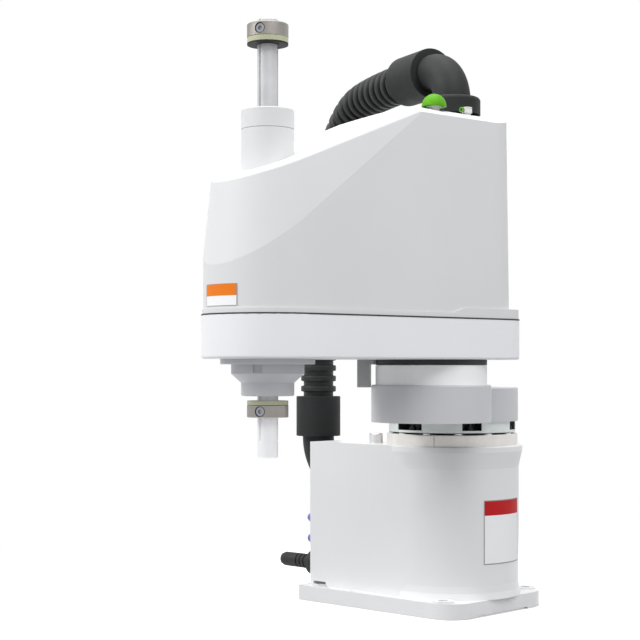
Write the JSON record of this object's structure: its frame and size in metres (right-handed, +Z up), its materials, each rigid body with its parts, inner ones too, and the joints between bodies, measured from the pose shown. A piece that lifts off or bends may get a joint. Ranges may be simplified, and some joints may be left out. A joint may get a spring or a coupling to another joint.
{
  "type": "scara robot arm",
  "caption": "Table-top SCARA robot with a fixed base, two horizontal links, a ball-screw spline quill and a corrugated cable conduit.",
  "frame": {"origin": "centre of the four foot bolts on the mounting face", "axes": "+X to the rounded front of the base, +Y to its left, +Z up along every joint axis"},
  "size_m": [0.3139, 0.4026, 0.499],
  "materials": {
    "casting_white": "semi-gloss white paint",
    "casting_grey": "semi-gloss light grey paint",
    "casting_tray": "semi-gloss white paint",
    "hub_grey": "satin light grey paint",
    "panel_grey": "satin light grey paint",
    "cover_plastic": "moulded white cover, semi-gloss",
    "reducer_beige": "machined, pale",
    "flange_white": "machined, pale",
    "aluminium": "machined",
    "bearing_steel": "ground",
    "screw_steel": "plated screws",
    "screw_black": "black oxide",
    "stop_steel": "plated",
    "shaft_chrome": "ground and hard chromed",
    "collar_metal": "turned, nickel plated",
    "elastomer_pale": "pale elastomer cushion",
    "brass": "turned",
    "rubber_black": "matt black",
    "belt_rubber": "toothed belt",
    "conduit_black": "moulded black fitting",
    "hose_black": "corrugated black tube",
    "socket_black": "moulded",
    "connector_metal": "pressed shell",
    "fitting_blue": "moulded release ring",
    "motor_black": "black motor body",
    "lamp_white": "moulded",
    "lamp_green": "translucent moulded lens"
  },
  "bodies": {
    "base": {"base_housing": "casting_white", "rear_panel": "panel_grey", "rear_panel_screws": "screw_steel", "power_socket": "socket_black", "signal_socket": "connector_metal", "air_fittings": "fitting_blue", "ground_terminal": "brass", "rubber_boot": "rubber_black", "j1_motor": "motor_black", "j1_motor_mount": "aluminium", "j1_reducer": "reducer_beige", "j1_reducer_bolts": "screw_steel", "j1_stop_pins": "stop_steel", "conduit_lower_nut": "conduit_black", "conduit_lower_elbow": "conduit_black", "conduit_lower_sleeve": "conduit_black", "conduit_hose": "hose_black"},
    "arm_1": {"j1_output_flange": "flange_white", "j1_flange_bolts": "screw_black", "arm_1_casting": "casting_grey", "arm_1_cap": "casting_grey", "arm_1_bolts": "screw_steel", "j2_stop_pin": "stop_steel", "j2_output_flange": "aluminium"},
    "arm_2": {"arm_2_tray": "casting_tray", "arm_2_cover": "cover_plastic", "tube_cap_ring": "cover_plastic", "seal_ring": "rubber_black", "j2_reducer": "aluminium", "j2_motor": "motor_black", "motor_plate": "aluminium", "motor_plate_screws": "screw_steel", "j3_motor": "motor_black", "j4_motor": "motor_black", "j3_belt": "belt_rubber", "j4_belt": "belt_rubber", "nut_bearings": "bearing_steel", "upper_bearing": "bearing_steel", "quill_hub": "hub_grey", "quill_hub_screws": "screw_steel", "hub_seal": "rubber_black", "j2_stop_bracket": "stop_steel", "lamp_base": "lamp_white", "lamp_lens": "lamp_green", "top_air_fitting": "lamp_white", "top_fitting_ring": "lamp_green", "conduit_upper_nut": "conduit_black", "conduit_upper_elbow": "conduit_black", "conduit_upper_sleeve": "conduit_black"},
    "spline_rotor": {"spline_nut": "bearing_steel", "j4_nut_pulley": "aluminium"},
    "quill": {"spline_shaft": "shaft_chrome", "upper_collar": "collar_metal", "lower_collar": "collar_metal", "collar_cushions": "elastomer_pale", "collar_screws": "screw_steel"},
    "screw_nut": {"ball_screw_nut": "bearing_steel", "j3_nut_pulley": "aluminium"},
    "j3_pulley": {"j3_motor_pulley": "aluminium"},
    "j4_pulley": {"j4_motor_pulley": "aluminium"}
  },
  "joints": [
    {"name": "J1", "type": "hinge", "parent": "base", "child": "arm_1", "pos_m": [0.036, 0, 0.1608], "axis": [0, 0, 1], "range_deg": [-73.1, 190.9], "deforming": ["conduit_hose"]},
    {"name": "J2", "type": "hinge", "parent": "arm_1", "child": "arm_2", "pos_m": [0.10057, -0.10703, 0.225], "axis": [0, 0, 1], "range_deg": [-104, 178], "deforming": ["conduit_hose"]},
    {"name": "J4", "type": "hinge", "parent": "arm_2", "child": "spline_rotor", "pos_m": [0.08258, -0.28111, 0.25], "axis": [0, 0, 1], "range_deg": [-360, 360]},
    {"name": "J3", "type": "slide", "parent": "spline_rotor", "child": "quill", "axis": [0, 0, 1], "range_m": [-0.147, 0.003]},
    {"name": "screw_nut_spin", "type": "hinge", "parent": "arm_2", "child": "screw_nut", "pos_m": [0.08258, -0.28111, 0.29], "axis": [0, 0, 1], "range_deg": [-2650, 60]},
    {"name": "j3_pulley_spin", "type": "hinge", "parent": "arm_2", "child": "j3_pulley", "pos_m": [0.0946, -0.16473, 0.288], "axis": [0, 0, 1], "range_deg": [-5300, 120]},
    {"name": "j4_pulley_spin", "type": "hinge", "parent": "arm_2", "child": "j4_pulley", "pos_m": [0.08988, -0.21048, 0.27], "axis": [0, 0, 1], "range_deg": [-725, 725]}
  ],
  "couplings": [
    {"joint": "screw_nut_spin", "follows": "J3", "rad_per_m": 314.16},
    {"joint": "j3_pulley_spin", "follows": "J3", "rad_per_m": 628.32},
    {"joint": "j4_pulley_spin", "follows": "J4", "ratio": 2}
  ]
}
